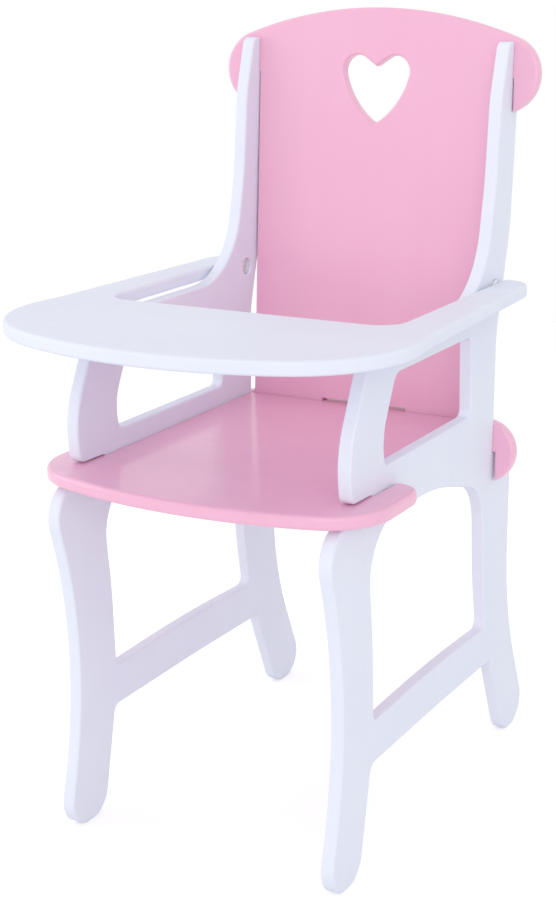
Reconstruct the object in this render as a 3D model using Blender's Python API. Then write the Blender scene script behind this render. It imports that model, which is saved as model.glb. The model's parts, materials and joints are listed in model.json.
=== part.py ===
"""Doll's high chair: painted boards that slot together, and a tray that swings up on two pivots."""

from math import acos, atan2, ceil, cos, pi, radians, sin, sqrt, tan

import bmesh
import bpy
from mathutils import Matrix, Vector

# Metres. X runs across the chair, Y from front to back, Z up from the floor.
MM = 0.001

# Stock and fits shared by every board
BOARD = 9.0 * MM
FIT_GAP = 0.3 * MM
SLOT_SIDE_GAP = 0.5 * MM
FACET_ERROR = 0.06 * MM
EDGE_STEPS = 2
CUT_OVERRUN = 1.0 * MM

# Frame: width over the two side panels, depth that the panel's outline follows, main heights;
# the horns and the upper laps hang from the top of the backrest, BACK_HEIGHT above the seat
CHAIR_WIDTH = 200.0 * MM
PANEL_DEPTH = 320.0 * MM
SEAT_HEIGHT = 245.4 * MM
ARM_HEIGHT = 89.0 * MM
BACK_HEIGHT = 275.1 * MM
RECLINE = radians(4.2)
BACK_LINE_SHARE = 0.3533

# Side panel: legs and stretcher
FOOT_ROUND = 17.5 * MM
HIP_ROUND = 22.0 * MM
STRETCHER_UNDERSIDE = 69.6 * MM
STRETCHER_DEPTH = 27.7 * MM
STRETCHER_CROWN = 2.4 * MM
STRETCHER_SAG = 1.8 * MM
STRETCHER_CURVE = 1500.0 * MM
STRETCHER_FILLET = 6.0 * MM
LEG_CURVE = 310.0 * MM
CALF_CURVE = 215.0 * MM
ARCH_DEPTH = 11.4 * MM
ARCH_FALL = 21.5 * MM
ARCH_ROUND = 35.0 * MM
ARCH_CURVE = 200.0 * MM
PANEL_EDGE = 1.5 * MM

# Side panel: front post, arm window and arm rail
POST_LIP_ROUND = 6.0 * MM
POST_CURVE = 60.0 * MM
POST_SHOULDER = 26.0 * MM
SILL_RISE = 13.5 * MM
ARM_RAIL_DEPTH = 21.2 * MM
WINDOW_CORNER = 5.0 * MM
WINDOW_SHOULDER = 10.0 * MM
WINDOW_CURVE = 35.0 * MM

# Side panel: upright, horn and the notches that hold the backrest
UPRIGHT_SWEEP = 55.0 * MM
UPRIGHT_CURVE = 150.0 * MM
REAR_CURVE = 80.0 * MM
HORN_DROP = 21.3 * MM
HORN_TIP = 8.5 * MM
HORN_WIDTH = 17.0 * MM
HORN_TAPER = 38.0 * MM
HORN_ROUND = 6.0 * MM
HORN_CURVE = 90.0 * MM
LEDGE_PROUD = 3.0 * MM
LEDGE_ROUND = 4.0 * MM
HOOK_HEIGHT = 9.0 * MM
HOOK_ROUND = 22.0 * MM
NOTCH_EASE = 2.0 * MM
NOTCH_EDGE = 0.6 * MM
EDGE_TO_CORNER_SHARE = 0.85
SAME_POINT = 0.01 * MM

# Side panel outline along the chair, in shares of PANEL_DEPTH from the middle
FRONT_TOE_SHARE = -0.4132
FRONT_HEEL_SHARE = -0.2815
FRONT_WAIST_SHARE = -0.3185
HIP_SHARE = -0.4306
STRETCHER_FRONT_SHARE = -0.2338
STRETCHER_MIDDLE_SHARE = 0.0913
STRETCHER_REAR_SHARE = 0.3709
REAR_TOE_SHARE = 0.4625
REAR_HEEL_SHARE = 0.5975
CALF_SHARE = 0.455
HOOK_SHARE = 0.4584
LEG_GAP_FRONT_SHARE = -0.2244
LEG_GAP_WAIST_SHARE = -0.2306
ARCH_FRONT_SHARE = -0.2572
ARCH_MIDDLE_SHARE = 0.0538
ARCH_REAR_SHARE = 0.301
LEG_GAP_REAR_SHARE = 0.3165
LEG_GAP_HEEL_SHARE = 0.3395
SEAT_LAP_SHARE = -0.24
POST_LIP_SHARE = -0.3227
POST_FRONT_SHARE = -0.3385
POST_TOP_SHARE = -0.2463
RAIL_REAR_SHARE = 0.2819
UPRIGHT_FRONT_SHARE = 0.3322
UPRIGHT_REAR_SHARE = 0.418
WAIST_REAR_SHARE = 0.357
SILL_FRONT_SHARE = -0.1822
WINDOW_FRONT_SHARE = -0.19875
HEAD_FRONT_SHARE = -0.14
HEAD_REAR_SHARE = 0.2209
SILL_REAR_SHARE = 0.2256

# Side panel outline upwards: legs in shares of the seat's underside, arms and upright of their own heights
WAIST_LEVEL_SHARE = 0.508
CALF_LEVEL_SHARE = 0.429
LEG_GAP_LEVEL_SHARE = 0.6464
LEG_GAP_REAR_LEVEL_SHARE = 0.5618
POST_LEVEL_SHARE = 0.342
WAIST_REAR_LEVEL_SHARE = 0.690
UPRIGHT_LEVEL_SHARE = 0.450
UPRIGHT_REAR_LEVEL_SHARE = 0.2545

# Backrest, measured up its own face from the seat
BACK_SIDE_GAP_TOP = 0.6 * MM
BACK_SIDE_GAP_FOOT = 1.9 * MM
BACK_FOOT_DEPTH = 43.7 * MM
BACK_FOOT_ROUND = 5.0 * MM
BACK_EDGE = 2.2 * MM
UPPER_LAP_DROP = 44.3 * MM
LOWER_LAP = -20.9 * MM
EAR_RISE = 2.1 * MM
EAR_RADIUS = 25.6 * MM
EAR_INSET = 8.2 * MM
LOWER_EAR_RADIUS = 22.0 * MM
LOWER_EAR_INSET = 6.6 * MM
LOWER_SLOT_GAP = 2.2 * MM
EAR_FILLET = 2.5 * MM
HEART_LOBE = 10.8 * MM
HEART_SPREAD = 14.2 * MM
HEART_DROP = 42.4 * MM
HEART_LENGTH = 35.6 * MM
HEART_NOTCH = 3.4 * MM
HEART_SIDE_TURN = radians(-15)
HEART_TIP_ROUND = 1.5 * MM
HEART_EDGE = 1.6 * MM

# Seat
SEAT_NOSE = 64.5 * MM
SEAT_BOW = 320.0 * MM
SEAT_EAR_WIDTH = 19.5 * MM
SEAT_EAR_LENGTH = 33.0 * MM
SEAT_CORNER = 43.0 * MM
SEAT_EAR_ROUND = 21.0 * MM
SEAT_MOUTH_ROUND = 4.0 * MM
SEAT_EDGE = 2.8 * MM
SEAT_SLOT_SLACK = 0.8 * MM
TONGUE_WIDTH = 64.6 * MM
TONGUE_PROUD = 5.0 * MM
TONGUE_ROUND = 3.0 * MM
MORTISE_SLACK = 1.5 * MM
SEAT_REACH_SHARE = 0.55
SEAT_EASE_SHARE = 0.7

# Tray, measured from its pivots
PIVOT_FROM_BACK = 4.6 * MM
TRAY_REACH = 290.0 * MM
TRAY_THROAT = 162.7 * MM
TRAY_HALF_WIDTH = 139.5 * MM
TRAY_BOW = 240.0 * MM
TRAY_CORNER = 75.0 * MM
TRAY_INNER_CORNER = 17.0 * MM
TRAY_FLANK_CURVE = 160.0 * MM
TRAY_BOW_REACH_SHARE = 0.4
TRAY_EASE_SHARE = 0.6
TRAY_FLANK_SHARE = 1.036
TRAY_FLANK_SPREAD = 8.2 * MM
ARM_GAP = 2.0 * MM
ARM_WIDTH = 20.3 * MM
ARM_TAIL = 11.9 * MM
ARM_END_OUTER = 16.0 * MM
ARM_END_INNER = 3.9 * MM
TRAY_EDGE = 2.2 * MM

# Pivot hardware, one set a side
BUSH_RADIUS = 5.7 * MM
BUSH_RECESS = 1.5 * MM
BUSH_CHAMFER = 0.5 * MM
BUSH_BORE = 2.3 * MM
SCREW_SHANK = 1.95 * MM
SCREW_LENGTH = 16.0 * MM
SCREW_HEAD_RADIUS = 3.8 * MM
SCREW_HEAD_HEIGHT = 2.2 * MM
SCREW_SOCKET = 1.25 * MM
SCREW_SOCKET_DEPTH = 1.3 * MM
INSERT_RADIUS = 2.9 * MM
INSERT_BORE = 2.25 * MM
INSERT_LENGTH = 10.0 * MM
INSERT_HOLE_DEPTH = 12.0 * MM
TURNED_SIDES = 24

# Sizes that follow
HALF_WIDTH = CHAIR_WIDTH / 2
SEAT_UNDERSIDE = SEAT_HEIGHT - BOARD
ARM_RAIL = SEAT_HEIGHT + ARM_HEIGHT
UPPER_LAP = BACK_HEIGHT - UPPER_LAP_DROP
HORN_RISE = BACK_HEIGHT - HORN_DROP
HORN_TOP = SEAT_HEIGHT + HORN_RISE * cos(RECLINE)
BACK_LINE = BACK_LINE_SHARE * PANEL_DEPTH
SEAT_LAP = SEAT_LAP_SHARE * PANEL_DEPTH
PIVOT_Y = BACK_LINE - PIVOT_FROM_BACK
PIVOT_Z = ARM_RAIL + FIT_GAP + BOARD / 2
PIVOT_HOLE = BUSH_RADIUS + FIT_GAP

WHITE_PAINT = (0.80, 0.82, 0.88)
PINK_PAINT = (0.83, 0.40, 0.57)
WHITE_NYLON = (0.86, 0.86, 0.88)
ZINC = (0.62, 0.63, 0.65)


def clear_scene():
    """Remove whatever the file held before."""
    for old in list(bpy.data.objects):
        bpy.data.objects.remove(old, do_unlink=True)


def material(name, colour, roughness, metallic):
    """A plain Principled finish."""
    finish = bpy.data.materials.new(name)
    finish.use_nodes = True
    shader = finish.node_tree.nodes["Principled BSDF"]
    shader.inputs["Base Color"].default_value = (*colour, 1.0)
    shader.inputs["Roughness"].default_value = roughness
    shader.inputs["Metallic"].default_value = metallic
    return finish


def facets(radius, sweep):
    """How many chords an arc needs to stay within the facet error."""
    step = 2 * acos(max(1 - FACET_ERROR / radius, 0.5))
    return max(2, ceil(abs(sweep) / step))


def arc(centre, radius, start, end, edge):
    """Knots along an arc, angles counter-clockwise from the first axis."""
    count = facets(radius, end - start)
    knots = []
    for index in range(count + 1):
        angle = start + (end - start) * index / count
        knots.append((centre[0] + radius * cos(angle), centre[1] + radius * sin(angle), 0, edge))
    return knots


def mirrored(half):
    """Close a right-hand half outline with its mirror image across the first axis' zero."""
    other = [(-u, v, corner, edge) for u, v, corner, edge in reversed(half)]
    return half + [knot for knot in other if abs(knot[0]) > FACET_ERROR]


def corner_plan(knots):
    """Directions, opening angle and fillet radius at each knot, limited by its two sides."""
    plan = []
    for index, (u, v, corner, edge) in enumerate(knots):
        here = Vector((u, v))
        behind = Vector(knots[index - 1][:2]) - here
        ahead = Vector(knots[(index + 1) % len(knots)][:2]) - here
        opening = behind.angle(ahead)
        reach = corner / tan(opening / 2) if corner else 0
        plan.append([here, behind, ahead, opening, corner, reach, edge])
    shrink = [1.0] * len(plan)
    for index, (here, behind, ahead, opening, corner, reach, edge) in enumerate(plan):
        following = (index + 1) % len(plan)
        wanted = reach + plan[following][5]
        if wanted > ahead.length:
            shrink[index] = min(shrink[index], ahead.length / wanted)
            shrink[following] = min(shrink[following], ahead.length / wanted)
    for entry, factor in zip(plan, shrink):
        entry[4] *= factor
        entry[5] *= factor
    return plan


def distinct(points):
    """Drop points that repeat the one before them."""
    kept = []
    for index, point in enumerate(points):
        if (Vector(point[:2]) - Vector(points[index - 1][:2])).length > SAME_POINT:
            kept.append(point)
    return kept


def rounded(knots):
    """Turn knots (u, v, corner radius, edge radius) into outline points with their fillets."""
    points = []
    for here, behind, ahead, opening, corner, reach, edge in corner_plan(knots):
        if min(corner, reach) < FACET_ERROR:
            points.append((here.x, here.y, edge))
            continue
        inward = (behind.normalized() + ahead.normalized()).normalized()
        centre = here + inward * (corner / sin(opening / 2))
        start = here + behind.normalized() * reach - centre
        end = here + ahead.normalized() * reach - centre
        sweep = start.angle_signed(end)
        count = facets(corner, sweep)
        eased = min(edge, corner * EDGE_TO_CORNER_SHARE)
        for index in range(count + 1):
            spoke = start.copy()
            spoke.rotate(Matrix.Rotation(-sweep * index / count, 2))
            points.append((centre.x + spoke.x, centre.y + spoke.y, eased))
    return distinct(points)


def area(points):
    """Signed area, positive when the points run counter-clockwise."""
    total = 0
    for index, (u, v, edge) in enumerate(points):
        before = points[index - 1]
        total += before[0] * v - u * before[1]
    return total / 2


def inset(points, share):
    """Points moved into the material, to their left, by a share of their own edge radius."""
    moved = []
    for index, (u, v, edge) in enumerate(points):
        here = Vector((u, v))
        came = (here - Vector(points[index - 1][:2])).normalized()
        goes = (Vector(points[(index + 1) % len(points)][:2]) - here).normalized()
        left = Vector((-came.y - goes.y, came.x + goes.x)).normalized()
        mitre = max(left.dot(Vector((-came.y, came.x))), 0.5)
        moved.append(here + left * (edge * share / mitre))
    return moved


def board_mesh(name, outline, openings):
    """A board with rounded edges, its outline in local XY and its thickness centred on Z."""
    mesh = bmesh.new()
    cap_edges = {1: [], -1: []}
    for number, knots in enumerate([outline] + openings):
        points = rounded(knots)
        wanted = 1 if number == 0 else -1
        if area(points) * wanted < 0:
            points.reverse()
        rings = []
        for side in (1, -1):
            turns = [pi / 2 * step / EDGE_STEPS for step in range(EDGE_STEPS + 1)]
            if side < 0:
                turns.reverse()
            for turn in turns:
                ring = []
                for spot, (u, v, edge) in zip(inset(points, 1 - sin(turn)), points):
                    height = side * (BOARD / 2 - edge * (1 - cos(turn)))
                    ring.append(mesh.verts.new((spot.x, spot.y, height)))
                rings.append(ring)
        for upper, lower in zip(rings, rings[1:]):
            for index in range(len(upper)):
                mesh.faces.new((upper[index - 1], lower[index - 1], lower[index], upper[index]))
        for side, ring in ((1, rings[0]), (-1, rings[-1])):
            for index in range(len(ring)):
                cap_edges[side].append(mesh.edges.get((ring[index - 1], ring[index])))
    for side in (1, -1):
        bmesh.ops.triangle_fill(mesh, edges=cap_edges[side], use_beauty=True)
    bmesh.ops.recalc_face_normals(mesh, faces=mesh.faces[:])
    data = bpy.data.meshes.new(name)
    mesh.to_mesh(data)
    mesh.free()
    return data


def turned_mesh(name, profile, socket=0):
    """A piece turned about local X; profile holds (station, radius), closed if it is a tube."""
    mesh = bmesh.new()
    tube = profile[0] == profile[-1]
    stations = profile[:-1] if tube else profile
    rings = []
    for station, radius in stations:
        ring = []
        for index in range(TURNED_SIDES):
            angle = 2 * pi * index / TURNED_SIDES
            reach = radius
            if socket and radius == socket:
                flat = pi / 3
                reach = socket / cos((angle + flat / 2) % flat - flat / 2)
            ring.append(mesh.verts.new((station, reach * cos(angle), reach * sin(angle))))
        rings.append(ring)
    pairs = list(zip(rings, rings[1:]))
    if tube:
        pairs.append((rings[-1], rings[0]))
    for near, far in pairs:
        for index in range(TURNED_SIDES):
            mesh.faces.new((near[index - 1], far[index - 1], far[index], near[index]))
    if not tube:
        mesh.faces.new(rings[0])
        mesh.faces.new(rings[-1])
    bmesh.ops.recalc_face_normals(mesh, faces=mesh.faces[:])
    data = bpy.data.meshes.new(name)
    mesh.to_mesh(data)
    mesh.free()
    return data


def put(name, data, finish, place, turn=(0, 0, 0), parent=None):
    """An object from a mesh, shaded smooth round its edges, placed and parented."""
    piece = bpy.data.objects.new(name, data)
    bpy.context.collection.objects.link(piece)
    piece.location = place
    piece.rotation_euler = turn
    piece.parent = parent
    if not data.materials:
        data.materials.append(finish)
    data.shade_smooth()
    data.set_sharp_from_angle(angle=radians(50))
    return piece


def along(share):
    """A place along the chair from its share of the panel's depth."""
    return share * PANEL_DEPTH


def between(low, high, share):
    """A level between two others."""
    return low + (high - low) * share


def back_point(rise, depth):
    """Chair Y and Z of a point that lies up the backrest's front face and behind it."""
    across = BACK_LINE + rise * sin(RECLINE) + depth * cos(RECLINE)
    return across, SEAT_HEIGHT + rise * cos(RECLINE) - depth * sin(RECLINE)


def notch_knot(rise, depth, corner=0):
    """A knot of a side panel's backrest notch."""
    return (*back_point(rise, depth), corner, NOTCH_EDGE)


def panel_outline():
    """Side panel seen from the side: foot, rear leg, upright, horn, arm, post, hip and front leg."""
    edge = PANEL_EDGE
    slot_floor = SEAT_UNDERSIDE - FIT_GAP
    slot_roof = SEAT_HEIGHT + SEAT_SLOT_SLACK
    rear_level = STRETCHER_UNDERSIDE - STRETCHER_SAG
    hook_rise = LOWER_LAP + HOOK_HEIGHT
    hook_level = back_point(hook_rise, BOARD + FIT_GAP)[1]
    legs = [
        (along(FRONT_TOE_SHARE), 0, FOOT_ROUND, edge),
        (along(FRONT_HEEL_SHARE), 0, FOOT_ROUND, edge),
        (along(STRETCHER_FRONT_SHARE), STRETCHER_UNDERSIDE, STRETCHER_FILLET, edge),
        (along(STRETCHER_MIDDLE_SHARE), STRETCHER_UNDERSIDE, STRETCHER_CURVE, edge),
        (along(STRETCHER_REAR_SHARE), rear_level, STRETCHER_FILLET, edge),
        (along(REAR_TOE_SHARE), 0, FOOT_ROUND, edge),
        (along(REAR_HEEL_SHARE), 0, FOOT_ROUND, edge),
        (along(CALF_SHARE), SEAT_UNDERSIDE * CALF_LEVEL_SHARE, CALF_CURVE, edge),
        (along(HOOK_SHARE), hook_level, HOOK_ROUND, edge),
    ]
    lower_notch = [
        notch_knot(hook_rise, BOARD + FIT_GAP, NOTCH_EASE),
        notch_knot(LOWER_LAP, BOARD + FIT_GAP),
        notch_knot(LOWER_LAP, -FIT_GAP),
        notch_knot(0, -FIT_GAP, NOTCH_EASE),
    ]
    back_of_upright = [
        (along(WAIST_REAR_SHARE), between(SEAT_HEIGHT, ARM_RAIL, WAIST_REAR_LEVEL_SHARE), REAR_CURVE, edge),
        (along(UPRIGHT_REAR_SHARE), between(ARM_RAIL, HORN_TOP, UPRIGHT_REAR_LEVEL_SHARE), UPRIGHT_CURVE, edge),
        (*back_point(UPPER_LAP, BOARD + LEDGE_PROUD), LEDGE_ROUND, edge),
    ]
    upper_notch = [
        notch_knot(UPPER_LAP, -FIT_GAP),
        notch_knot(HORN_RISE, -FIT_GAP, NOTCH_EASE),
    ]
    front = [
        (*back_point(HORN_RISE, -FIT_GAP - HORN_TIP), HORN_ROUND, edge),
        (*back_point(HORN_RISE - HORN_TAPER, -FIT_GAP - HORN_WIDTH), HORN_CURVE, edge),
        (along(UPRIGHT_FRONT_SHARE), between(ARM_RAIL, HORN_TOP, UPRIGHT_LEVEL_SHARE), UPRIGHT_CURVE, edge),
        (along(RAIL_REAR_SHARE), ARM_RAIL, UPRIGHT_SWEEP, edge),
        (along(POST_TOP_SHARE), ARM_RAIL, POST_SHOULDER, edge),
        (along(POST_FRONT_SHARE), between(SEAT_HEIGHT, ARM_RAIL, POST_LEVEL_SHARE), POST_CURVE, edge),
        (along(POST_LIP_SHARE), slot_roof, POST_LIP_ROUND, edge),
        (SEAT_LAP, slot_roof, 0, NOTCH_EDGE),
        (SEAT_LAP, slot_floor, 0, NOTCH_EDGE),
        (along(HIP_SHARE), slot_floor, HIP_ROUND, edge),
        (along(FRONT_WAIST_SHARE), SEAT_UNDERSIDE * WAIST_LEVEL_SHARE, LEG_CURVE, edge),
    ]
    return legs + lower_notch + back_of_upright + upper_notch + front


def leg_opening():
    """The closed gap between the legs, from the stretcher to the arch under the seat."""
    edge = PANEL_EDGE
    floor = STRETCHER_UNDERSIDE + STRETCHER_DEPTH
    arch = SEAT_UNDERSIDE - ARCH_DEPTH
    return [
        (along(LEG_GAP_FRONT_SHARE), floor, STRETCHER_FILLET, edge),
        (along(STRETCHER_MIDDLE_SHARE), floor + STRETCHER_CROWN, STRETCHER_CURVE, edge),
        (along(LEG_GAP_HEEL_SHARE), floor - STRETCHER_CROWN / 2, STRETCHER_FILLET, edge),
        (along(LEG_GAP_REAR_SHARE), SEAT_UNDERSIDE * LEG_GAP_REAR_LEVEL_SHARE, LEG_CURVE, edge),
        (along(ARCH_REAR_SHARE), arch - ARCH_FALL, ARCH_ROUND, edge),
        (along(ARCH_MIDDLE_SHARE), arch, ARCH_CURVE, edge),
        (along(ARCH_FRONT_SHARE), arch, ARCH_ROUND, edge),
        (along(LEG_GAP_WAIST_SHARE), SEAT_UNDERSIDE * LEG_GAP_LEVEL_SHARE, LEG_CURVE, edge),
    ]


def arm_window():
    """The opening under the arm rail, its front side curved like the post."""
    edge = PANEL_EDGE
    head = ARM_RAIL - ARM_RAIL_DEPTH
    return [
        (along(SILL_FRONT_SHARE), SEAT_HEIGHT + SILL_RISE, WINDOW_CORNER, edge),
        (along(SILL_REAR_SHARE), SEAT_HEIGHT + SILL_RISE, WINDOW_CORNER, edge),
        (along(HEAD_REAR_SHARE), head, WINDOW_CORNER, edge),
        (along(HEAD_FRONT_SHARE), head, WINDOW_SHOULDER, edge),
        (along(WINDOW_FRONT_SHARE), between(SEAT_HEIGHT, ARM_RAIL, POST_LEVEL_SHARE), WINDOW_CURVE, edge),
    ]


def round_opening(centre, radius, edge):
    """A drilled hole as knots."""
    return [
        (centre[0] + radius * cos(angle), centre[1] + radius * sin(angle), 0, edge)
        for angle in (2 * pi * index / TURNED_SIDES for index in range(TURNED_SIDES))
    ]


def side_panels(finish):
    """Both side panels from one board, standing on edge."""
    pivot_hole = round_opening((PIVOT_Y, PIVOT_Z), PIVOT_HOLE, NOTCH_EDGE)
    data = board_mesh("side_panel", panel_outline(), [leg_opening(), arm_window(), pivot_hole])
    for name, side in (("left_side_panel", -1), ("right_side_panel", 1)):
        put(name, data, finish, (side * (HALF_WIDTH - BOARD / 2), 0, 0), (pi / 2, 0, pi / 2))


def lap_slot(inner_foot, inner_top, outer, mouth, roof):
    """A slot that straddles a side panel, open downwards; its inner wall is the board's own flank."""
    return [
        (inner_foot, mouth, BACK_FOOT_ROUND, BACK_EDGE),
        (inner_top, roof, 0, NOTCH_EDGE),
        (outer, roof, 0, NOTCH_EDGE),
    ]


def crest_circle(ear):
    """Circle through the crest's top that runs smoothly into the ears' rounds."""
    reach = BACK_HEIGHT - EAR_RADIUS
    level = (reach ** 2 - ear[0] ** 2 - ear[1] ** 2) / (2 * (reach - ear[1]))
    return (0, level), BACK_HEIGHT - level


def backrest_half():
    """Right half of the backrest, bottom centre to top centre, as (across, up its face)."""
    foot = HALF_WIDTH - BOARD - BACK_SIDE_GAP_FOOT
    top = HALF_WIDTH - BOARD - BACK_SIDE_GAP_TOP
    lower_outer = HALF_WIDTH + LOWER_SLOT_GAP
    upper_outer = HALF_WIDTH + SLOT_SIDE_GAP
    lower_centre = (HALF_WIDTH - LOWER_EAR_INSET, LOWER_LAP)
    upper_centre = (HALF_WIDTH - EAR_INSET, UPPER_LAP + EAR_RISE)
    lower_start = -acos((lower_outer - lower_centre[0]) / LOWER_EAR_RADIUS)
    upper_start = -acos((upper_outer - upper_centre[0]) / EAR_RADIUS)
    half = [(0, -BACK_FOOT_DEPTH, 0, BACK_EDGE)]
    half += lap_slot(foot, foot, lower_outer, -BACK_FOOT_DEPTH, LOWER_LAP + FIT_GAP)
    half += arc(lower_centre, LOWER_EAR_RADIUS, lower_start, pi / 2, BACK_EDGE)
    half.append((foot, LOWER_LAP + LOWER_EAR_RADIUS, EAR_FILLET, BACK_EDGE))
    half += [(top, UPPER_LAP + FIT_GAP, 0, NOTCH_EDGE), (upper_outer, UPPER_LAP + FIT_GAP, 0, NOTCH_EDGE)]
    crest_centre, crest_radius = crest_circle(upper_centre)
    lean = atan2(upper_centre[1] - crest_centre[1], upper_centre[0])
    half += arc(upper_centre, EAR_RADIUS, upper_start, lean, BACK_EDGE)
    half += arc(crest_centre, crest_radius, lean, pi / 2, BACK_EDGE)[1:]
    return half


def heart_opening():
    """Heart from two lobes, straight runs between them to a notch, and full curves down to its tip."""
    lobe = Vector((HEART_SPREAD, BACK_HEIGHT - HEART_DROP))
    tip = Vector((0, lobe.y - HEART_LENGTH))
    aim = Vector((cos(HEART_SIDE_TURN), sin(HEART_SIDE_TURN)))
    fall = tip - lobe
    along_aim = fall.dot(aim)
    side = (fall.length_squared + HEART_LOBE ** 2 - 2 * HEART_LOBE * along_aim) / (2 * (HEART_LOBE - along_aim))
    centre = lobe - aim * (side - HEART_LOBE)
    start = atan2(tip.y - centre.y, tip.x - centre.x)
    notch = Vector((0, lobe.y + HEART_NOTCH))
    dip = notch - lobe
    leave = atan2(dip.y, dip.x) - acos(HEART_LOBE / dip.length)
    half = [(0, tip.y, HEART_TIP_ROUND, HEART_EDGE)]
    half += arc(centre, side, start, HEART_SIDE_TURN, HEART_EDGE)[1:]
    half += arc(lobe, HEART_LOBE, HEART_SIDE_TURN, leave, HEART_EDGE)[1:]
    half.append((0, notch.y, 0, HEART_EDGE))
    return mirrored(half)


def mortise():
    """The hole that the seat's tongue passes through."""
    across = TONGUE_WIDTH / 2 + SLOT_SIDE_GAP
    low = -BOARD / cos(RECLINE) - FIT_GAP
    high = BOARD * sin(RECLINE) + MORTISE_SLACK
    return [
        (-across, low, 0, NOTCH_EDGE),
        (across, low, 0, NOTCH_EDGE),
        (across, high, 0, NOTCH_EDGE),
        (-across, high, 0, NOTCH_EDGE),
    ]


def backrest(finish):
    """The reclined back board, hooked over both side panels."""
    data = board_mesh("backrest", mirrored(backrest_half()), [heart_opening(), mortise()])
    put("backrest", data, finish, (0, *back_point(0, BOARD / 2)), (pi / 2 - RECLINE, 0, 0))


def bow(front, radius, across):
    """Level of a bowed front edge at a distance from the middle."""
    return front + radius - sqrt(radius ** 2 - across ** 2)


def bowed_front(front, radius, half_width, reach_share, ease_share, corner, edge):
    """Front edge from the middle to the corner, in plan."""
    reach = half_width * reach_share
    count = facets(radius, 2 * reach / radius)
    knots = []
    for index in range(count + 1):
        across = reach * index / count
        knots.append((across, bow(front, radius, across), 0, edge))
    eased = half_width * ease_share
    knots.append((eased, bow(front, radius, eased), radius / 2, edge))
    knots.append((half_width, bow(front, radius, half_width), corner, edge))
    return knots


def seat(finish):
    """The seat board: bowed nose, ears outside the panels, slots and a tongue through the back."""
    half_width = HALF_WIDTH + SEAT_EAR_WIDTH
    ear_rear = SEAT_LAP + SEAT_EAR_LENGTH
    slot_end = SEAT_LAP - FIT_GAP
    rear = back_point(-BOARD / cos(RECLINE), 0)[0] - FIT_GAP
    tongue_end = back_point(0, BOARD)[0] + TONGUE_PROUD
    inner = HALF_WIDTH - BOARD - SLOT_SIDE_GAP
    outer = HALF_WIDTH + SLOT_SIDE_GAP
    half = bowed_front(
        SEAT_LAP - SEAT_NOSE, SEAT_BOW, half_width, SEAT_REACH_SHARE, SEAT_EASE_SHARE, SEAT_CORNER, SEAT_EDGE
    )
    half += [
        (half_width, ear_rear, SEAT_EAR_ROUND, SEAT_EDGE),
        (outer, ear_rear, SEAT_MOUTH_ROUND, SEAT_EDGE),
        (outer, slot_end, 0, NOTCH_EDGE),
        (inner, slot_end, 0, NOTCH_EDGE),
        (inner, rear, NOTCH_EASE, NOTCH_EDGE),
        (TONGUE_WIDTH / 2, rear, 0, NOTCH_EDGE),
        (TONGUE_WIDTH / 2, tongue_end, TONGUE_ROUND, NOTCH_EDGE),
    ]
    data = board_mesh("seat", mirrored(half), [])
    put("seat", data, finish, (0, 0, SEAT_HEIGHT - BOARD / 2))


def insert_cutter(side, place):
    """The blind hole that a tray arm's threaded insert sits in."""
    near = HALF_WIDTH + ARM_GAP
    radius = INSERT_RADIUS + FIT_GAP
    profile = [(side * (near - TRAY_EDGE), radius), (side * (near + INSERT_HOLE_DEPTH), radius)]
    cutter = put("insert_cutter", turned_mesh("insert_cutter", profile), None, place)
    cutter.hide_render = True
    cutter.display_type = "WIRE"
    return cutter


def tray(finish, hinge):
    """The tray: a bowed table whose two arms run back outside the panels to the pivots."""
    inner = HALF_WIDTH + ARM_GAP
    outer = inner + ARM_WIDTH
    half = bowed_front(
        -TRAY_REACH, TRAY_BOW, TRAY_HALF_WIDTH, TRAY_BOW_REACH_SHARE, TRAY_EASE_SHARE, TRAY_CORNER, TRAY_EDGE
    )
    half += [
        (outer + TRAY_FLANK_SPREAD, -TRAY_THROAT * TRAY_FLANK_SHARE, TRAY_FLANK_CURVE, TRAY_EDGE),
        (outer, ARM_TAIL, ARM_END_OUTER, TRAY_EDGE),
        (inner, ARM_TAIL, ARM_END_INNER, TRAY_EDGE),
        (inner, -TRAY_THROAT, TRAY_INNER_CORNER, TRAY_EDGE),
    ]
    data = board_mesh("tray", mirrored(half), [])
    table = put("tray", data, finish, (0, 0, 0), (0, 0, 0), hinge)
    for side in (-1, 1):
        hole = table.modifiers.new("insert_hole", "BOOLEAN")
        hole.operation = "DIFFERENCE"
        hole.object = insert_cutter(side, hinge.location)


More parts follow.
